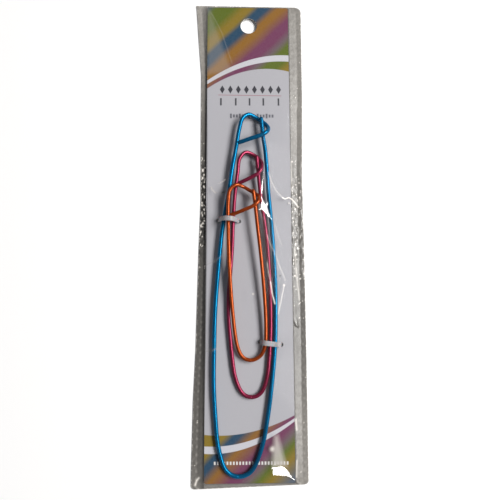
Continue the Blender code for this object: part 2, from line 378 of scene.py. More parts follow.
def smooth_through(points, spans):
    """Points on a centripetal Catmull-Rom curve through the given ones."""
    ends = [2 * points[0] - points[1], *points, 2 * points[-1] - points[-2]]
    found = []
    for before, start, end, after in zip(ends, ends[1:], ends[2:], ends[3:]):
        knots = [0.0]
        for one, other in ((before, start), (start, end), (end, after)):
            knots.append(knots[-1] + math.sqrt((other - one).length))
        _, t1, t2, t3 = knots
        for step in range(spans):
            t = t1 + (t2 - t1) * step / spans
            a = before.lerp(start, t / t1)
            b = start.lerp(end, (t - t1) / (t2 - t1))
            c = end.lerp(after, (t - t2) / (t3 - t2))
            d = a.lerp(b, t / t2)
            e = b.lerp(c, (t - t1) / (t3 - t1))
            found.append(d.lerp(e, (t - t1) / (t2 - t1)))
    return [*found, points[-1].copy()]


def tube_faces(rings, sides):
    """Quads between the rings of a closed tube, and a cap at each end."""
    faces = []
    for r in range(rings - 1):
        for k in range(sides):
            a, b = r * sides + k, r * sides + (k + 1) % sides
            faces.append((a, a + sides, b + sides, b))
    faces.append(tuple(range(sides)))
    last = (rings - 1) * sides
    faces.append(tuple(range(last + sides - 1, last - 1, -1)))
    return faces


def tube(name, line, radii, look):
    """A round closed tube along the line, with each ring turned as little as it can be from the last."""
    points = []
    along = []
    travelled = 0.0
    side = None
    for index, (at, radius) in enumerate(zip(line, radii)):
        before, after = line[max(index - 1, 0)], line[min(index + 1, len(line) - 1)]
        on = (after - before).normalized()
        if side is None:
            side = on.cross(Vector((0, 0, 1))).normalized()
        side = (side - on * side.dot(on)).normalized()
        up = on.cross(side)
        if index:
            travelled += (at - line[index - 1]).length
        for k in range(WIRE_SIDES):
            angle = 2 * math.pi * k / WIRE_SIDES
            points.append(at + (side * math.cos(angle) + up * math.sin(angle)) * radius)
            along.append((math.cos(angle), math.sin(angle), travelled))
    made = mesh_object(name, points, tube_faces(len(line), WIRE_SIDES), look)
    wrapped = made.data.attributes.new("wrapped", "FLOAT_VECTOR", "POINT")
    wrapped.data.foreach_set("vector", np.array(along, np.float32).ravel())
    return made


# -------- holders

# Each dye: its colour, its lighter patches and the tint of its sheen
HOLDER_LOOKS = {
    "large": ((0.0, 0.095, 0.22), (0.001, 0.115, 0.265), (0.1, 0.8, 1.0)),
    "medium": ((0.205, 0.010, 0.040), (0.24, 0.014, 0.052), (1.0, 0.6, 0.75)),
    "small": ((0.30, 0.036, 0.001), (0.36, 0.050, 0.002), (1.0, 0.85, 0.55)),
}
WIRE_ROUGHNESS = (0.20, 0.29)
# How finely the drawn lines and the dye's clouds vary, round the wire and along it
DRAWN_LINES = (7.0, 7.0, 0.12)
DYE_CLOUDS = (0.5, 0.5, 0.09)
DYE_DEEP = 0.86


def anodised(name, colour, glow, sheen):
    """Drawn wire, anodised: a slightly uneven, deep dye with a tinted sheen and fine lines along it."""
    look = plain_material(name, colour, 0.24, metallic=0.5)
    nodes = Nodes(look)
    wrapped = nodes.attribute("wrapped", "Vector")
    drawn = nodes.noise(nodes.scaled(wrapped, DRAWN_LINES), 1.0, 3.0)
    cloudy = nodes.noise(nodes.scaled(wrapped, DYE_CLOUDS), 1.0, 2.0)
    shade = nodes.mix(nodes.spread(cloudy, *NOISE_SPAN), tuple(c * DYE_DEEP for c in colour), glow)
    nodes.set(Base_Color=shade, Roughness=nodes.spread(drawn, *NOISE_SPAN, *WIRE_ROUGHNESS))
    nodes.set(Specular_IOR_Level=0.6, Specular_Tint=sheen)
    nodes.bump(drawn, 0.12, 0.04 * MM)
    return look


def holder_lines(shape):
    """The centre lines of a holder's frame and pin, from the bend outwards, in the pack's frame."""
    pitch = shape["wire"] + GAP
    x, y = shape["bend_at"]
    stands = Vector((x, y, CARD_TOP + GAP + shape["wire"] / 2 + shape["lift"]))
    turned = Matrix.Rotation(math.radians(shape["lean"]), 3, "Z")

    def placed(across, up, level=0.0):
        share = up / shape["height"]
        swell = shape["rise"] * share + 4 * shape["bow"] * share * (1 - share)
        return stands + turned @ Vector((across, up, swell + level * pitch))

    frame_leg = [placed(left, up) for left, _, up in shape["legs"]]
    frame_leg += [placed(*point) for point in shape["hook"]]
    pin_leg = [placed(right, up) for _, right, up in shape["legs"]]
    pin_leg += [placed(*point) for point in shape["pin"]]
    whole = smooth_through([*reversed(frame_leg), placed(0, 0), *pin_leg], WIRE_SPANS)
    at_bend = len(frame_leg) * WIRE_SPANS
    return whole[at_bend::-1], whole[at_bend:]


def with_rounded_tip(line, radius):
    """The line with a few points past its end, and the wire's radius at each point."""
    on = (line[-1] - line[-2]).normalized()
    radii = [radius] * (len(line) - 1)
    line = line[:-1] + [line[-1] + on * past * radius for _, past in TIP_TAPER]
    return line, radii + [radius * share for share, _ in TIP_TAPER]


def make_holder(name, shape):
    """A holder's two pieces; returns their centre lines with the wire's radius."""
    look = anodised(f"{name}_anodised", *HOLDER_LOOKS[name])
    radius = shape["wire"] / 2
    frame_line, pin_line = holder_lines(shape)
    bent, radii = with_rounded_tip(frame_line, radius)
    body = tube(f"{name}_holder_wire", bent, radii, look)
    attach(body, "card")
    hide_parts(f"{name}_holder_frame")
    straight, radii = with_rounded_tip(pin_line, radius)
    pin = tube(f"{name}_holder_pin_wire", straight, radii, look)
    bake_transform(pin)
    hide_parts(f"{name}_holder_pin")
    return [(frame_line, radius), (pin_line, radius)]


# -------- ties

TIE_BASE = (0.48, 0.47, 0.49)
TIE_CLOUDS = ((0.36, 0.35, 0.37), (0.49, 0.48, 0.50))
TIE_CLOUD_SCALE = 900.0
TIE_ALPHA = 0.72
# How far either side of a tie's middle the film feels it
TIE_EDGE = 1.2


def tie_line(shape):
    """Points (along the span, height, width) of a tie's middle, in its own frame."""
    half = TIE_SPAN / 2
    stem_top = CARD_TOP + TIE_STEM_TOP
    rows = [(-half + TIE_FOOT, TIE_FOOT_HEIGHT, TIE_WIDTH), (-half, TIE_FOOT_HEIGHT, TIE_WIDTH)]
    rows.append((-half, stem_top, TIE_STEM_WIDTH))
    rows += [(-half + share * TIE_SPAN, CARD_TOP + height, TIE_WIDTH) for share, height in shape["arch"]]
    rows += [(half, stem_top, TIE_STEM_WIDTH), (half, TIE_FOOT_HEIGHT, TIE_WIDTH)]
    rows.append((half - TIE_FOOT, TIE_FOOT_HEIGHT, TIE_WIDTH))
    return smooth_through([Vector(row) for row in rows], TIE_SPANS)


def tie_place(shape):
    x, y = shape["middle"]
    return Matrix.Translation((x, y, 0)) @ Matrix.Rotation(math.radians(shape["turn"]), 4, "Z")


def tie_material(name):
    """Milky, see-through plastic, a little cloudy."""
    look = plain_material(name, TIE_BASE, 0.38)
    nodes = Nodes(look)
    cloudy = nodes.noise(nodes.place(), TIE_CLOUD_SCALE, 3.0)
    nodes.set(Base_Color=nodes.mix(cloudy, *TIE_CLOUDS), Alpha=TIE_ALPHA, Specular_IOR_Level=0.3)
    nodes.set(Subsurface_Weight=0.3, Subsurface_Scale=2 * MM)
    nodes.bump(cloudy, 0.15, 0.1 * MM)
    return look


def make_tie(name, shape):
    """A ribbon along a tie's line; returns points over its face, with half its thickness."""
    line = tie_line(shape)
    place = tie_place(shape)
    points = []
    for index, at in enumerate(line):
        before, after = line[max(index - 1, 0)], line[min(index + 1, len(line) - 1)]
        on = Vector((after.x - before.x, after.y - before.y)).normalized()
        over = Vector((-on.y, on.x))
        for k in range(TIE_SIDES):
            angle = 2 * math.pi * k / TIE_SIDES
            flat, thick = math.cos(angle), math.sin(angle)
            across = math.copysign(abs(flat) ** 0.5, flat) * at.z / 2
            lift = math.copysign(abs(thick) ** 0.8, thick) * TIE_THICKNESS / 2
            points.append(place @ Vector((at.x + over.x * lift, across, at.y + over.y * lift)))
    faces = [(first, *reversed(others)) for first, *others in tube_faces(len(line), TIE_SIDES)]
    made = mesh_object(f"{name}_strip", points, faces, tie_material(f"{name}_plastic"))
    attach(made, "card")
    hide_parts(name)
    along = [place @ Vector((at.x, side, at.y)) for at in line for side in (-TIE_EDGE, 0.0, TIE_EDGE)]
    return [(along, TIE_THICKNESS / 2)]


def tie_holes():
    """Where each tie's two holes are in the card."""
    for shape in TIES.values():
        for side in (-1, 1):
            yield (tie_place(shape) @ Vector((side * TIE_SPAN / 2, 0, 0))).xy


# -------- card

# Stripes run at 45 degrees; each stop is (millimetres across them, colour)
GREEN, OCHRE, BLUE = (0.088, 0.122, 0.002), (0.22, 0.145, 0.006), (0.007, 0.048, 0.10)
ORANGE, CLAY, MAGENTA = (0.24, 0.105, 0.006), (0.19, 0.07, 0.045), (0.145, 0.030, 0.085)
GREY_MAUVE, SLATE = (0.13, 0.09, 0.10), (0.08, 0.10, 0.13)
STRIPES = (
    (-116, SLATE), (-112, GREEN), (-104.5, GREEN), (-99.5, OCHRE), (-96.5, OCHRE), (-93.5, BLUE),
    (-89.5, BLUE), (-85.5, ORANGE), (-82.5, ORANGE), (-79, CLAY), (-76, MAGENTA), (-71.5, MAGENTA),
    (-67.5, GREY_MAUVE), (-64, GREEN), (-58.5, GREEN), (-54, OCHRE), (66, OCHRE), (71, OCHRE),
    (74.5, BLUE), (77, BLUE), (82, ORANGE), (86, CLAY), (89.5, MAGENTA), (93, MAGENTA),
    (96.5, GREY_MAUVE), (100.5, GREEN), (105.5, OCHRE), (113, SLATE),
)
PLAIN_PRINT = (0.410, 0.405, 0.435)
SWOOSH_PRINT = (0.54, 0.535, 0.575)
# Edges between printed areas, from the top of the card down: each y = a + b x + c x x, and the area below
PRINT_EDGES = (
    ((105.0, 0.335, -0.0080), "swoosh"),
    ((101.5, 0.300, -0.0075), "stripes"),
    ((98.3, 0.225, -0.0098), "plain"),
    ((-112.0, 0.20, 0.0063), "stripes"),
    ((-116.4, 0.29, 0.0073), "swoosh"),
    ((-119.7, 0.335, 0.0082), "stripes"),
)
PRINT_SOFTNESS = 0.16
STRIPE_WANDER = 0.8
WANDER_SCALE = 45.0
FIBRE_SCALE = 2600.0
# What the most faded fibres of the print turn towards and how far, and the fibres' roughness
FADED = (0.8, 0.8, 0.82)
MOST_FADED = 0.04
PRINT_ROUGHNESS = (0.36, 0.5)
BOARD_COLOUR = (0.62, 0.60, 0.58)
CARD_CORNER = 0.5
DRILL_DEPTH = 20.0
HANG_HOLE_SIDES = 96
TIE_HOLE_SIDES = 32


def card_material():
    """The card's print: plain in the middle, with stripes and a pale swoosh at each end."""
    look = plain_material("card_print", PLAIN_PRINT, 0.42)
    nodes = Nodes(look)
    x, y, _ = nodes.split(nodes.scaled(nodes.place(), (1 / MM,) * 3))
    fibre = nodes.noise(nodes.place(), FIBRE_SCALE, 4.0)
    drift = nodes.noise(nodes.place(), WANDER_SCALE, 1.0)
    across = nodes.math("MULTIPLY", nodes.math("SUBTRACT", x, y), math.sqrt(0.5))
    across = nodes.math("ADD", across, nodes.spread(drift, 0.0, 1.0, -STRIPE_WANDER, STRIPE_WANDER))
    low, high = STRIPES[0][0], STRIPES[-1][0]
    stops = [((at - low) / (high - low), colour) for at, colour in STRIPES]
    stripes = nodes.ramp(nodes.spread(across, low, high), stops)
    colours = {"stripes": stripes, "swoosh": SWOOSH_PRINT, "plain": PLAIN_PRINT}
    print_colour = stripes
    for (a, b, c), area_below in PRINT_EDGES:
        edge = nodes.math("ADD", nodes.math("MULTIPLY", nodes.math("MULTIPLY", x, x), c), a)
        edge = nodes.math("ADD", edge, nodes.math("MULTIPLY", x, b))
        below = nodes.spread(nodes.math("SUBTRACT", edge, y), -PRINT_SOFTNESS, PRINT_SOFTNESS)
        print_colour = nodes.mix(below, print_colour, colours[area_below])
    faded = nodes.mix(nodes.spread(fibre, *NOISE_SPAN, 0.0, MOST_FADED), print_colour, FADED)
    roughness = nodes.spread(fibre, *NOISE_SPAN, *PRINT_ROUGHNESS)
    nodes.set(Base_Color=faded, Roughness=roughness, Specular_IOR_Level=0.35)
    nodes.bump(fibre, 0.1, 0.05 * MM)
    return look


def drill(target, name, diameter, x, y, sides):
    """Adds a round hole to the target as a modifier; returns its cutter."""
    radius, depth = diameter / 2 * MM, DRILL_DEPTH * MM
    shape = bmesh.new()
    bmesh.ops.create_cone(shape, cap_ends=True, segments=sides, radius1=radius, radius2=radius, depth=depth)
    bmesh.ops.translate(shape, vec=(x * MM, y * MM, CARD_TOP * MM), verts=shape.verts)
    data = bpy.data.meshes.new(name)
    shape.to_mesh(data)
    shape.free()
    cutter = add_object(name, data)
    cut = target.modifiers.new(name, "BOOLEAN")
    cut.operation = "DIFFERENCE"
    cut.object = cutter
    return cutter


def apply_modifiers(made):
    graph = bpy.context.evaluated_depsgraph_get()
    made.data = bpy.data.meshes.new_from_object(made.evaluated_get(graph))
    made.modifiers.clear()


def make_card():
    look = card_material()
    board = plain_material("board_edge", BOARD_COLOUR, 0.8)
    low, high = CARD_LOW, CARD_HIGH
    shape = bmesh.new()
    bmesh.ops.create_cube(shape, size=1)
    bmesh.ops.scale(shape, vec=(high - low) * MM, verts=shape.verts)
    bmesh.ops.translate(shape, vec=(high + low) / 2 * MM, verts=shape.verts)
    upright = [e for e in shape.edges if abs(e.verts[0].co.z - e.verts[1].co.z) > 0.1 * MM]
    bmesh.ops.bevel(shape, geom=upright, offset=CARD_CORNER * MM, segments=3, affect="EDGES")
    data = bpy.data.meshes.new("card_board")
    shape.to_mesh(data)
    shape.free()
    data.materials.append(look)
    data.materials.append(board)
    made = add_object("card_board", data)
    cutters = [drill(made, "hang_hole_cutter", HANG_HOLE, *HANG_HOLE_AT, HANG_HOLE_SIDES)]
    for k, (x, y) in enumerate(tie_holes()):
        cutters.append(drill(made, f"tie_hole_cutter_{k}", TIE_HOLE, x, y, TIE_HOLE_SIDES))
    bpy.context.view_layer.update()
    apply_modifiers(made)
    for cutter in cutters:
        bpy.data.objects.remove(cutter)
    for face in made.data.polygons:
        face.material_index = 0 if face.normal.z > 0.5 else 1
    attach(made, "card")
    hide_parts("backing_card")


# Heights of the ink's underside and top over the card, and the marks' colours
INK_LEVELS = (0.005, 0.03)
INKS = {
    "title_marks": (0.035, 0.035, 0.045),
    "title_rule": (0.33, 0.12, 0.15),
    "spaced_marks": (0.06, 0.06, 0.07),
    "small_marks": (0.13, 0.13, 0.15),
    "foot_marks": (0.66, 0.64, 0.62),
}


def prism(points):
    """A thin prism of ink over a flat outline given as (x, y)."""
    n = len(points)
    verts = [(x, y, CARD_TOP + level) for level in INK_LEVELS for x, y in points]
    faces = [tuple(range(n - 1, -1, -1)), tuple(range(n, 2 * n))]
    faces += [(k, (k + 1) % n, n + (k + 1) % n, n + k) for k in range(n)]
    return verts, faces


def lozenge(x, y, width, height):
    return [(x - width / 2, y), (x, y - height / 2), (x + width / 2, y), (x, y + height / 2)]


def bar(x, y, width, height):
    w, h = width / 2, height / 2
    return [(x - w, y - h), (x + w, y - h), (x + w, y + h), (x - w, y + h)]


def make_ink(name, outlines):
    points, faces = [], []
    for outline in outlines:
        verts, sides = prism(outline)
        faces += [tuple(k + len(points) for k in side) for side in sides]
        points += verts
    look = plain_material(f"{name}_ink", INKS[name], 0.5)
    made = mesh_object(name, points, faces, look, smooth=False)
    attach(made, "card")


def make_marks():
    """Generic marks where the card is printed: rows of lozenges and bars, and a rule."""
    make_ink("title_marks", [lozenge(-15.6 + 4.85 * k, 86.2, 2.9, 5.2) for k in range(8)])
    make_ink("title_rule", [[(-18.1, 82.55), (19.9, 82.15), (19.9, 82.45), (-18.1, 82.85)]])
    make_ink("spaced_marks", [bar(x, 78.4, 1.0, 4.6) for x in (-16.4, -7.5, 0.8, 9.1, 18.2)])
    make_ink("small_marks", [bar(-10.4 + 1.78 * k, 69.5, 1.15, 1.9 if k % 3 else 2.9) for k in range(15)])
    make_ink("foot_marks", [bar(-19.0 + 1.72 * k, -127.9 - 0.01 * k, 0.95, 1.7) for k in range(24)])


# -------- sleeve

# The film's grid step and its clearance over what is under it
FILM_STEP = 0.42
CLEARANCE = 0.14
# The sleeve's sides as (y, x), and its ends as y = a + b x
SLEEVE_LEFT = ((-142, -31.7), (-132, -31.7), (-95, -31.1), (-68, -30.0), (-11, -28.8), (18, -27.9),
               (36, -28.1), (96, -28.3), (119, -30.1), (139, -31.5), (142, -32.0))
SLEEVE_RIGHT = ((-142, 32.0), (-106, 32.1), (-68, 32.2), (-11, 32.1), (31, 31.7), (81, 32.7), (142, 32.9))
SLEEVE_TOP = (141.4, -0.010)
SLEEVE_BOTTOM = (-140.7, 0.029)
# Widths held flat at the sides and the ends, and how round three of the corners are
SEAM = 3.2
SEALED_END = 0.7
BOTTOM_LEFT_ROUND, BOTTOM_RIGHT_ROUND, TOP_RIGHT_ROUND = 1.6, 2.2, 3.8
# Heights of the back film and of the seams
FILM_UNDER = 0.12
FILM_SEAM_TOP = 0.36
# Margins that the front film keeps past the card's edge and round a wire
CARD_MARGIN = 0.2
WIRE_MARGIN = 0.3
# How many of the film's grid points, each way, a wire can lift
WIRE_REACH = 5
DRAPE_ROUNDS = 3600


def along_table(table, at):
    places, values = zip(*table)
    return np.interp(at, places, values)


def rounded(distance, radius):
    """How far a rounded corner pulls an edge in, at some distance from the corner."""
    short = np.clip(radius - distance, 0, radius)
    return radius - np.sqrt(radius**2 - short**2)


def sleeve_grid():
    """The film's points as arrays of x and y, rows up the sleeve, bent to its outline; and its sides' x."""
    columns = int(round((FILM_HIGH.x - FILM_LOW.x) / FILM_STEP)) + 1
    rows = int(round((FILM_HIGH.y - FILM_LOW.y) / FILM_STEP)) + 1
    s = np.linspace(0, 1, columns)[None, :]
    t = np.linspace(0, 1, rows)[:, None]
    nominal_x = FILM_LOW.x + (FILM_HIGH.x - FILM_LOW.x) * s
    top = SLEEVE_TOP[0] + SLEEVE_TOP[1] * nominal_x
    bottom = SLEEVE_BOTTOM[0] + SLEEVE_BOTTOM[1] * nominal_x
    y = bottom + (top - bottom) * t
    mid_y = y[:, columns // 2][:, None]
    from_top = mid_y[-1] - mid_y
    from_bottom = mid_y - mid_y[0]
    left = along_table(SLEEVE_LEFT, mid_y) + rounded(from_bottom, BOTTOM_LEFT_ROUND)
    right = along_table(SLEEVE_RIGHT, mid_y)
    right = right - rounded(from_top, TOP_RIGHT_ROUND) - rounded(from_bottom, BOTTOM_RIGHT_ROUND)
    x = left + (right - left) * s
    return x, y, left, right


def obstacle(x, y, wires):
    """The lowest height the front film can have at each place: over the card, the wires and the ties."""
    floor = np.full(x.shape, FILM_SEAM_TOP)
    across = (x > CARD_LOW.x - CARD_MARGIN) & (x < CARD_HIGH.x + CARD_MARGIN)
    along = (y > CARD_LOW.y - CARD_MARGIN) & (y < CARD_HIGH.y + CARD_MARGIN)
    floor[across & along] = CARD_TOP + CLEARANCE
    step_x = (x[0, -1] - x[0, 0]) / (x.shape[1] - 1)
    step_y = (y[-1, 0] - y[0, 0]) / (x.shape[0] - 1)
    for line, radius in wires:
        reach = radius + WIRE_MARGIN
        for p in line:
            row = int((p.y - y[0, 0]) / step_y)
            column = int((p.x - x[max(0, min(row, len(x) - 1)), 0]) / step_x)
            rows = slice(max(0, row - WIRE_REACH), row + WIRE_REACH + 1)
            columns = slice(max(0, column - WIRE_REACH), column + WIRE_REACH + 1)
            near = (x[rows, columns] - p.x) ** 2 + (y[rows, columns] - p.y) ** 2
            top = p.z + np.sqrt(np.clip(reach**2 - near, 0, None)) + CLEARANCE
            block = floor[rows, columns]
            floor[rows, columns] = np.where(near < reach**2, np.maximum(block, top), block)
    return floor


def draped(floor, held):
    """A taut film over an obstacle: each free point rests at its neighbours' mean, or on what is higher."""
    height = floor.copy()
    inner = (slice(1, -1), slice(1, -1))
    for _ in range(DRAPE_ROUNDS):
        mean = (height[1:-1, :-2] + height[1:-1, 2:] + height[:-2, 1:-1] + height[2:, 1:-1]) / 4
        height[inner] = np.where(held[inner], floor[inner], np.maximum(mean, floor[inner]))
    return height


def mirror_slope(x, y):
    """The slope (dz/dx, dz/dy) at which the film there throws the key light at the camera."""
    at = Vector((x, y, CARD_TOP))
    normal = (Vector(CAMERA_AT) - at).normalized() + (Vector(KEY_AT) - at).normalized()
    return -normal.x / normal.z, -normal.y / normal.z


# Flat facets of the film that catch the light, each a plane cut to convex outlines, which go anticlockwise
FACETS = (
    (((8.7, 33.6), (7.0, 25.0), (6.5, 18.0), (7.7, 18.0), (8.2, 25.5)),),
    (
        ((4.8, 10.2), (9.6, 10.4), (8.4, 13.4)),
        ((6.9, 11.4), (10.0, 12.4), (6.6, 19.0)),
        ((8.0, 10.6), (11.2, 13.2), (10.6, 16.0)),
        ((7.4, 10.0), (10.0, 7.2), (14.0, 4.0), (10.0, 12.4)),
    ),
    (
        ((11.6, -129.2), (12.0, -133.2), (19.0, -134.4), (18.4, -129.6)),
        ((15.6, -132.0), (25.0, -137.6), (18.4, -129.6)),
    ),
    (((25.3, -50.3), (26.2, -54.4), (27.4, -55.0), (27.2, -52.0), (26.0, -49.6)),),
)
# Creases, painted as white highlights along their whole length: their points, width and strength
CREASE_HIGHLIGHTS = (
    (((11.3, 33.1), (12.6, 29.0), (15.3, 23.5), (17.4, 20.9), (19.9, 18.7)), 0.24, 0.4),
    (((19.6, 18.9), (21.1, 18.2), (22.4, 18.9), (23.4, 19.3), (25.4, 18.4), (26.9, 16.9), (29.2, 14.0)),
     0.32, 0.9),
    (((10.2, -3.4), (12.0, -8.6), (15.0, -14.5), (17.6, -21.8), (20.7, -29.1)), 0.22, 0.42),
    (((10.1, -18.9), (10.9, -25.4), (12.3, -31.0)), 0.22, 0.4),
    (((12.0, -30.0), (12.9, -36.8), (14.4, -42.3)), 0.28, 0.8),
    (((19.8, -32.3), (18.6, -37.5), (16.2, -48.0)), 0.24, 0.5),
    (((13.2, 5.6), (15.4, 1.6), (16.5, -3.8), (19.0, -9.0)), 0.22, 0.25),
    (((-21.8, 25.2), (-20.6, 22.9), (-19.2, 21.6)), 0.45, 0.6),
    (((-17.2, 27.2), (-15.3, 27.7), (-13.6, 28.8)), 0.4, 0.35),
    (((-23.6, -19.6), (-20.2, -18.6), (-15.2, -15.4)), 0.4, 0.18),
    (((-24.0, -68.4), (-20.9, -67.8), (-17.4, -66.2)), 0.4, 0.2),
    (((-22.8, 136.3), (-19.4, 130.2), (-15.9, 122.6), (-12.6, 112.0), (-9.8, 103.0)), 0.3, 0.10),
    (((25.4, -105.5), (25.9, -111.0)), 0.5, 0.5),
    (((25.6, -127.0), (25.2, -135.5)), 0.4, 0.45),
    (((25.0, 42.0), (25.3, 24.0)), 0.3, 0.30),
    (((-29.6, -139.4), (-28.8, -137.2), (-27.6, -135.6)), 0.5, 0.8),
    (((26.4, -10.0), (27.2, -24.0), (28.8, -40.0)), 0.4, 0.35),
)
# Small marks, painted highlights where bright and dark spots where dark: (x, y), radius and shade
GLINTS_AND_SPOTS = (
    ((2.1, -36.8), 0.45, 0.95), ((19.8, -31.8), 0.55, 0.9), ((17.6, -26.5), 0.5, 0.02),
    ((-14.5, 21.0), 1.1, 0.03), ((23.5, 16.0), 0.4, 0.9), ((12.2, -120.2), 1.3, 0.75),
)
# Soft white veils over part of the card, the lower one a painted reflection in the film, the upper one a
# lighter patch: outlines, going anticlockwise, and strength
VEILS_AND_SHEEN = (
    (((10.4, -131.0), (21.6, -131.0), (16.4, -112.0), (12.2, -112.0)), 0.5),
    (((-26.0, 139.4), (-26.0, 94.0), (-8.0, 96.0), (-22.2, 138.6)), 0.14),
)
# Shade of the film beside the card's left and right edges, by height up the sleeve; on the left its
# darkening is painted shade, the card's shadow and dark reflections in the crumpled film
LEFT_SHADE = ((-142, 0.24), (-120, 0.18), (-60, 0.125), (-20, 0.11), (20, 0.10), (45, 0.14), (70, 0.22),
              (95, 0.34), (142, 0.42))
RIGHT_SHADE = ((-142, 0.30), (-108, 0.26), (-90, 0.19), (-50, 0.13), (0, 0.15), (40, 0.21), (60, 0.25),
               (142, 0.275))
# How far the folded film laps over the card's left edge
LEFT_LAP = ((-110, 0), (-70, 0.8), (10, 0.9), (60, 0.7), (120, 0))
FILM_BASE = (0.42, 0.385, 0.345)
FILM_TINT = (1.0, 0.945, 0.87)
SHEEN_ROUGHNESS = 0.09
# A facet's steep sides: their slope, how far past its outline they start, and how far they go
SIDE_SLOPE = 3.0
SIDE_START = 0.2
SIDE_END = 3.5


def inside_of(x, y, outline):
    """How far each place is inside a convex outline, negative outside it."""
    found = np.full(x.shape, np.inf)
    for (ax, ay), (bx, by) in zip(outline, outline[1:] + outline[:1]):
        area = (bx - ax) * (y - ay) - (by - ay) * (x - ax)
        found = np.minimum(found, area / math.hypot(bx - ax, by - ay))
    return found


def away_from(x, y, points):
    """The distance of each place from a line through the points."""
    found = np.full(x.shape, np.inf)
    for (ax, ay), (bx, by) in zip(points, points[1:]):
        long = (bx - ax) ** 2 + (by - ay) ** 2
        share = np.clip(((x - ax) * (bx - ax) + (y - ay) * (by - ay)) / long, 0, 1)
        found = np.minimum(found, np.hypot(x - ax - share * (bx - ax), y - ay - share * (by - ay)))
    return found


def raise_facet(height, x, y, outlines):
    """Lifts a flat facet that slopes like a mirror for the key light, with steep sides all round."""
    centre = np.mean([point for outline in outlines for point in outline], axis=0)
    slope = mirror_slope(*centre)
    inside = np.max([inside_of(x, y, outline) for outline in outlines], axis=0)
    within = inside > 0
    plane = slope[0] * (x - centre[0]) + slope[1] * (y - centre[1])
    lift = np.max(height[within] - plane[within])
    face = plane + lift + SIDE_SLOPE * np.minimum(inside + SIDE_START, 0)
    return np.where(inside > -SIDE_END, np.maximum(height, face), height), within


def crinkle(x, y, cell, seed):
    """Faceted crumple: the distance to the nearest of scattered points, centred on 0 and about 1 high."""
    scatter = np.random.default_rng(seed)
    wide, tall = x.max() - x.min(), y.max() - y.min()
    count = int(wide * tall / cell**2)
    sx = scatter.uniform(x.min(), x.max(), count)
    sy = scatter.uniform(y.min(), y.max(), count)
    nearest = np.full(x.shape, 1e9)
    for px, py in zip(sx, sy):
        nearest = np.minimum(nearest, (x - px) ** 2 + (y - py) ** 2)
    found = np.sqrt(nearest) / cell
    return found - found.mean()


def mottled(shape, seed, spread=1):
    """Smoothed random numbers from 0 to 1, evenly shared out, with grains a few points wide."""
    noise = np.random.default_rng(seed).random(shape)
    for _ in range(spread):
        noise[1:-1, 1:-1] = (noise[1:-1, 1:-1] + noise[:-2, 1:-1] + noise[2:, 1:-1] + noise[1:-1, 2:]) / 4
    return noise.ravel().argsort().argsort().reshape(shape) / noise.size


# How softly the film changes at the card's edge, and the middle and half length of each squeezed stretch
CARD_BLUR = 0.8
SQUEEZED_LEFT = (16, 26)
SQUEEZED_RIGHT = (2, 34)
# The blisters down each seam: their pitch, how far in from the edge they are, and the half sizes, across and
# along, of a blister and of the ring round it
BLISTER_PITCH = 4.2
BLISTER_IN = 2.3
BLISTER_SIZE = (0.75, 0.9)
RING_SIZE = (1.5, 1.7)


def bell(distance, width):
    """A smooth bump, 1 at no distance and nearly 0 at twice the width."""
    return np.exp(-((distance / width) ** 2))


def film_places():
    """The film's points, with each one's distances from the edges, and where it lies as shares of 0 to 1."""
    x, y, left, right = sleeve_grid()
    from_side = np.minimum(x - left, right - x)
    beyond_ends = np.maximum(CARD_LOW.y - y, y - CARD_HIGH.y)
    lapped_edge = CARD_HIGH.x - along_table(LEFT_LAP, y) * (x < 0)
    phase = (np.mod(y, BLISTER_PITCH) / BLISTER_PITCH - 0.5) * BLISTER_PITCH
    blister, ringed = (
        bell(from_side - BLISTER_IN, wide) * bell(phase, tall) for wide, tall in (BLISTER_SIZE, RING_SIZE)
    )
    return SimpleNamespace(
        x=x,
        y=y,
        from_side=from_side,
        from_right=right - x,
        from_end=np.minimum(y - y[0], y[-1] - y),
        off_card=np.clip(np.maximum(np.abs(x) - CARD_HIGH.x, beyond_ends) / CARD_BLUR, 0, 1),
        over_card=np.abs(x) < lapped_edge,
        milky=np.clip(np.maximum(np.abs(x) - lapped_edge, beyond_ends) / CARD_BLUR, 0, 1),
        squeezed_left=bell(y - SQUEEZED_LEFT[0], SQUEEZED_LEFT[1]) * (x < 0),
        squeezed_right=bell(y - SQUEEZED_RIGHT[0], SQUEEZED_RIGHT[1]) * (x > 0),
        blister=blister,
        ring=ringed - blister,
    )


# The crumple beside the card: its height, the shares of it everywhere and where the left and right sides are
# squeezed, how much it stands up, and its cells' size; then the slight waves over the card
CRUMPLE_HEIGHT = 0.8
CRUMPLE_SHARES = (0.10, 0.55, 0.5)
CRUMPLE_RAISED = 0.45
CRUMPLE_CELL = 3.0
WAVE_HEIGHT = 0.05
WAVE_CELL = 9.0
# How far in from the sides and the ends it has its full height
SIDE_FADE = 1.2
END_FADE = 1.5
# The blisters' height; the least share of it, high up; the y from which they grow, going down, and over how
# far; and the share of it on the right
BLISTER_HEIGHT = 0.4
BLISTER_LEAST = 0.15
BLISTERS_FROM, BLISTERS_OVER = 20.0, 60.0
BLISTER_RIGHT = 0.35
# How mirror-like the film is over the card, beside it, where it is squeezed and on a facet
CARD_SHINE = 0.0025
SIDE_SHINE = 0.004
SQUEEZED_SHINE = 0.035
FACET_SHINE = 0.1


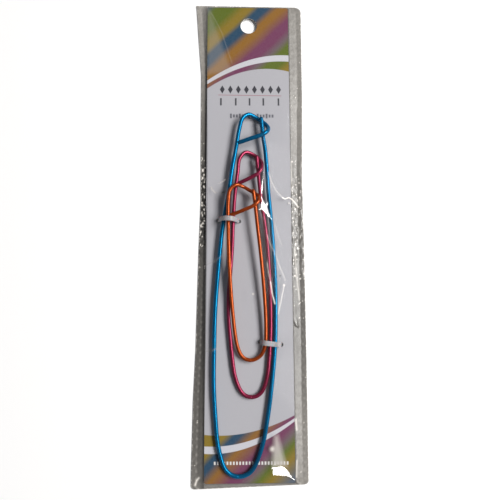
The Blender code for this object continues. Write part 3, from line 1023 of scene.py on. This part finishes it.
def front_heights(at, wires):
    """The front film's heights, draped, crumpled, blistered and faceted; and how mirror-like it is."""
    held = (at.from_side < SEAM) | (at.from_end < SEALED_END)
    floor = obstacle(at.x, at.y, wires)
    floor[held] = FILM_SEAM_TOP
    height = draped(floor, held)
    everywhere, on_left, on_right = CRUMPLE_SHARES
    crumple = everywhere + on_left * at.squeezed_left + on_right * at.squeezed_right
    inner = np.clip(at.from_side / SIDE_FADE, 0, 1) * np.clip(at.from_end / END_FADE, 0, 1)
    folds = crinkle(at.x, at.y, CRUMPLE_CELL, 11) + CRUMPLE_RAISED
    height = height + at.off_card * inner * crumple * CRUMPLE_HEIGHT * folds
    height = height + (1 - at.off_card) * WAVE_HEIGHT * crinkle(at.x, at.y, WAVE_CELL, 5) * inner
    grown = np.clip((BLISTERS_FROM - at.y) / BLISTERS_OVER, BLISTER_LEAST, 1)
    height = height + BLISTER_HEIGHT * at.blister * grown * np.where(at.x < 0, 1, BLISTER_RIGHT)
    squeezed = at.squeezed_left + at.squeezed_right
    shine = CARD_SHINE + at.off_card * (SIDE_SHINE + SQUEEZED_SHINE * squeezed)
    for facet in FACETS:
        height, lit = raise_facet(height, at.x, at.y, facet)
        shine = np.where(lit, FACET_SHINE, shine)
    return height, shine


# How milky the front film is over the card, and how much more beside it
CARD_HAZE = 0.01
SIDE_HAZE = 0.83
# Its shade over the card, and on the left the shares of LEFT_SHADE near the card and far from it; the darker
# film near the card is a painted shadow of the card's edge
CARD_SHADE = 0.27
LEFT_SHADOWED_NEAR, LEFT_FAR = 0.62 * 0.92, 0.92
NEAR_CARD, FAR_FROM_CARD = 1.0, 2.6
# On the right, the folded film inside the seam is a little darker
FOLD_INSIDE = 4.2
FOLD_DARKER = 0.08
# Grain: the least share of the shade, and how much more there can be
GRAIN_LEAST, GRAIN_MORE = 0.86, 0.28
# Blisters are lighter and their rings darker: most lower down, not at the ends and less on the right
BLISTER_LIGHTER = 0.5
RING_DARKER = 0.3
RELIEF_FROM, RELIEF_OVER = -5.0, 50.0
RELIEF_LEAST = 0.08
RELIEF_END = 3.0
RELIEF_RIGHT = 0.4
# Where the film is crushed on the left: how strongly, the share of dark flakes, which are painted dark
# reflections, and how dark they are
CRUSHED = 1.25
CRUSHED_LEAST = 0.3
DARK_REFLECTION_FLAKES = 0.42
FLAKE_DARKER = 0.75
# Shares of painted glints where it is crushed, squeezed on the right, and anywhere beside the card
CRUSHED_GLINTS, RIGHT_GLINTS, SIDE_GLINTS = 0.16, 0.05, 0.004
GLINT_SHADE = 0.95
GLINT_SPOT_STRENGTH = 0.8
VEIL_SHEEN_SHADE = 0.7
VEIL_BLUR = 3.0


def front_tones(at):
    """The front film's haze and shade: its folds, grain, blisters, flakes and glints, then its marks. The
    darker film beside the card, the dark flakes, the glints, the white creases, the bright specks and the
    lower veil are painted shade, painted reflections and painted highlights.
    """
    # Painted shadow of the card's edge: the film on the left is darker near the card
    outwards = np.clip((CARD_LOW.x - at.x - NEAR_CARD) / (FAR_FROM_CARD - NEAR_CARD), 0, 1)
    left_shade = along_table(LEFT_SHADE, at.y) * (LEFT_SHADOWED_NEAR + (LEFT_FAR - LEFT_SHADOWED_NEAR) * outwards)
    right_shade = along_table(RIGHT_SHADE, at.y) * (1 - FOLD_DARKER * (at.from_right > FOLD_INSIDE))
    shade = np.where(at.over_card, CARD_SHADE, np.where(at.x < 0, left_shade, right_shade))
    grains, flakes = mottled(at.x.shape, 21), mottled(at.x.shape, 22, 2)
    relief = np.clip((RELIEF_FROM - at.y) / RELIEF_OVER, RELIEF_LEAST, 1) * (at.from_end > RELIEF_END)
    relief = relief * (BLISTER_LIGHTER * at.blister - RING_DARKER * at.ring)
    relief = relief * np.where(at.x < 0, 1, RELIEF_RIGHT)
    shade = shade * (GRAIN_LEAST + GRAIN_MORE * grains) * (1 + relief)
    # Painted dark reflections and painted glints in the crumpled film
    crushed = np.clip(at.squeezed_left * CRUSHED, 0, 1) * at.off_card
    dark_reflections = (flakes < DARK_REFLECTION_FLAKES) & (crushed > CRUSHED_LEAST)
    shade = np.where(dark_reflections, shade * (1 - FLAKE_DARKER * crushed), shade)
    glints = CRUSHED_GLINTS * crushed + (RIGHT_GLINTS * at.squeezed_right + SIDE_GLINTS) * at.off_card
    shade = np.where((flakes > 1 - glints) & (at.off_card > 0.5), GLINT_SHADE, shade)
    haze = CARD_HAZE + SIDE_HAZE * at.milky
    # Painted highlights along the creases
    for points, width, strength in CREASE_HIGHLIGHTS:
        line = bell(away_from(at.x, at.y, points), width) * strength
        haze, shade = laid_over(haze, shade, line, GLINT_SHADE)
    # Painted highlights and dark spots
    for (x, y), radius, tone in GLINTS_AND_SPOTS:
        spot = bell(np.hypot(at.x - x, at.y - y), radius) * GLINT_SPOT_STRENGTH
        haze, shade = laid_over(haze, shade, spot, tone)
    # The lower veil is a painted reflection in the film
    for outline, strength in VEILS_AND_SHEEN:
        veil = np.clip(inside_of(at.x, at.y, outline) / VEIL_BLUR, 0, 1) * strength * (1 - at.off_card)
        haze, shade = laid_over(haze, shade, veil, VEIL_SHEEN_SHADE)
    return haze, shade


# The back film: its haze over the card, and how much more beside it; its shade, shine and slight waves
BACK_HAZE = (0.1, 0.8)
BACK_SHADE = 0.42
BACK_SHINE = 0.04
BACK_WAVES = 0.05
BACK_CELL = 3.4


def make_films(wires):
    """The sleeve's front film, over the wires and ties given as lines with a radius, and its back film."""
    at = film_places()
    height, shine = front_heights(at, wires)
    haze, shade = front_tones(at)
    front = film_mesh("sleeve_front_film", at.x, at.y, height, (haze, shade, shine))
    level = FILM_UNDER + BACK_WAVES * at.off_card * crinkle(at.x, at.y, BACK_CELL, 3)
    over_card, added = BACK_HAZE
    all_over = np.ones(at.x.shape)
    looks = (over_card + added * at.off_card, BACK_SHADE * all_over, BACK_SHINE * all_over)
    back = film_mesh("sleeve_back_film", at.x, at.y, level, looks)
    for film, node in ((front, "sleeve_front"), (back, "sleeve_back")):
        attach(film, "sleeve")
        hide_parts(node)
    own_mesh(front)


def laid_over(haze, shade, share, tone):
    """Haze and shade after a mark of some tone is laid over them, as solid as its share."""
    whole = share + haze * (1 - share)
    return whole, (tone * share + shade * haze * (1 - share)) / whole


def film_mesh(name, x, y, z, looks):
    """A film through the grid's points, with the hang hole cut out of it and its haze, shade and shine."""
    rows, columns = x.shape
    points = np.stack([x, y, z], axis=-1).reshape(-1, 3)
    index = np.arange(rows * columns).reshape(rows, columns)
    corners = (index[:-1, :-1], index[:-1, 1:], index[1:, 1:], index[1:, :-1])
    faces = np.stack(corners, axis=-1).reshape(-1, 4)
    hole = np.array(HANG_HOLE_AT)
    radius = HANG_HOLE / 2
    away = points[:, :2] - hole
    distance = np.linalg.norm(away, axis=1)
    # Faces that reach into the hole go, and points near its rim move onto it
    outside = distance[faces].max(axis=1) > radius
    faces = faces[outside & (distance[faces].min(axis=1) > radius - FILM_STEP * 0.75)]
    rim = (distance < radius + FILM_STEP * 0.5) & (distance > 0)
    points[rim, :2] = hole + away[rim] / distance[rim, None] * radius
    used = np.unique(faces)
    renumbered = np.full(len(points), -1)
    renumbered[used] = np.arange(len(used))
    made = mesh_object(name, points[used], renumbered[faces].tolist(), film_material(f"{name}_clear"))
    for part, values in zip(("haze", "shade", "shine"), looks):
        layer = made.data.attributes.new(part, "FLOAT", "POINT")
        layer.data.foreach_set("value", values.reshape(-1)[used].astype(np.float32))
    return made


def film_material(name):
    """Thin film: clear with a mirror-like sheen, and milky where it is welded or lies on itself; its haze
    and shade also carry painted highlights along creases and painted shade.
    """
    look = plain_material(name, FILM_BASE, 0.35)
    nodes = Nodes(look)
    shade = nodes.tree.nodes.new("ShaderNodeCombineColor")
    for socket, tint in zip(shade.inputs, FILM_TINT):
        nodes.put(socket, nodes.math("MULTIPLY", nodes.attribute("shade"), tint))
    nodes.set(Base_Color=shade.outputs[0])
    clear = nodes.tree.nodes.new("ShaderNodeBsdfTransparent")
    sheen = nodes.tree.nodes.new("ShaderNodeBsdfGlossy")
    sheen.inputs["Roughness"].default_value = SHEEN_ROUGHNESS
    thin, whole = (nodes.tree.nodes.new("ShaderNodeMixShader") for _ in range(2))
    for mixer, share, one, other in (
        (thin, "shine", clear, sheen),
        (whole, "haze", thin, nodes.shader),
    ):
        nodes.put(mixer.inputs["Fac"], nodes.attribute(share))
        nodes.tree.links.new(one.outputs[0], mixer.inputs[1])
        nodes.tree.links.new(other.outputs[0], mixer.inputs[2])
    nodes.tree.links.new(whole.outputs[0], nodes.tree.nodes["Material Output"].inputs["Surface"])
    return look


# -------- the pack

make_camera()
make_stage()
make_lights()
make_card()
make_marks()
under_film = []
for holder_name, holder_shape in HOLDERS.items():
    under_film += make_holder(holder_name, holder_shape)
for tie_name, tie_shape in TIES.items():
    under_film += make_tie(tie_name, tie_shape)
make_films(under_film)
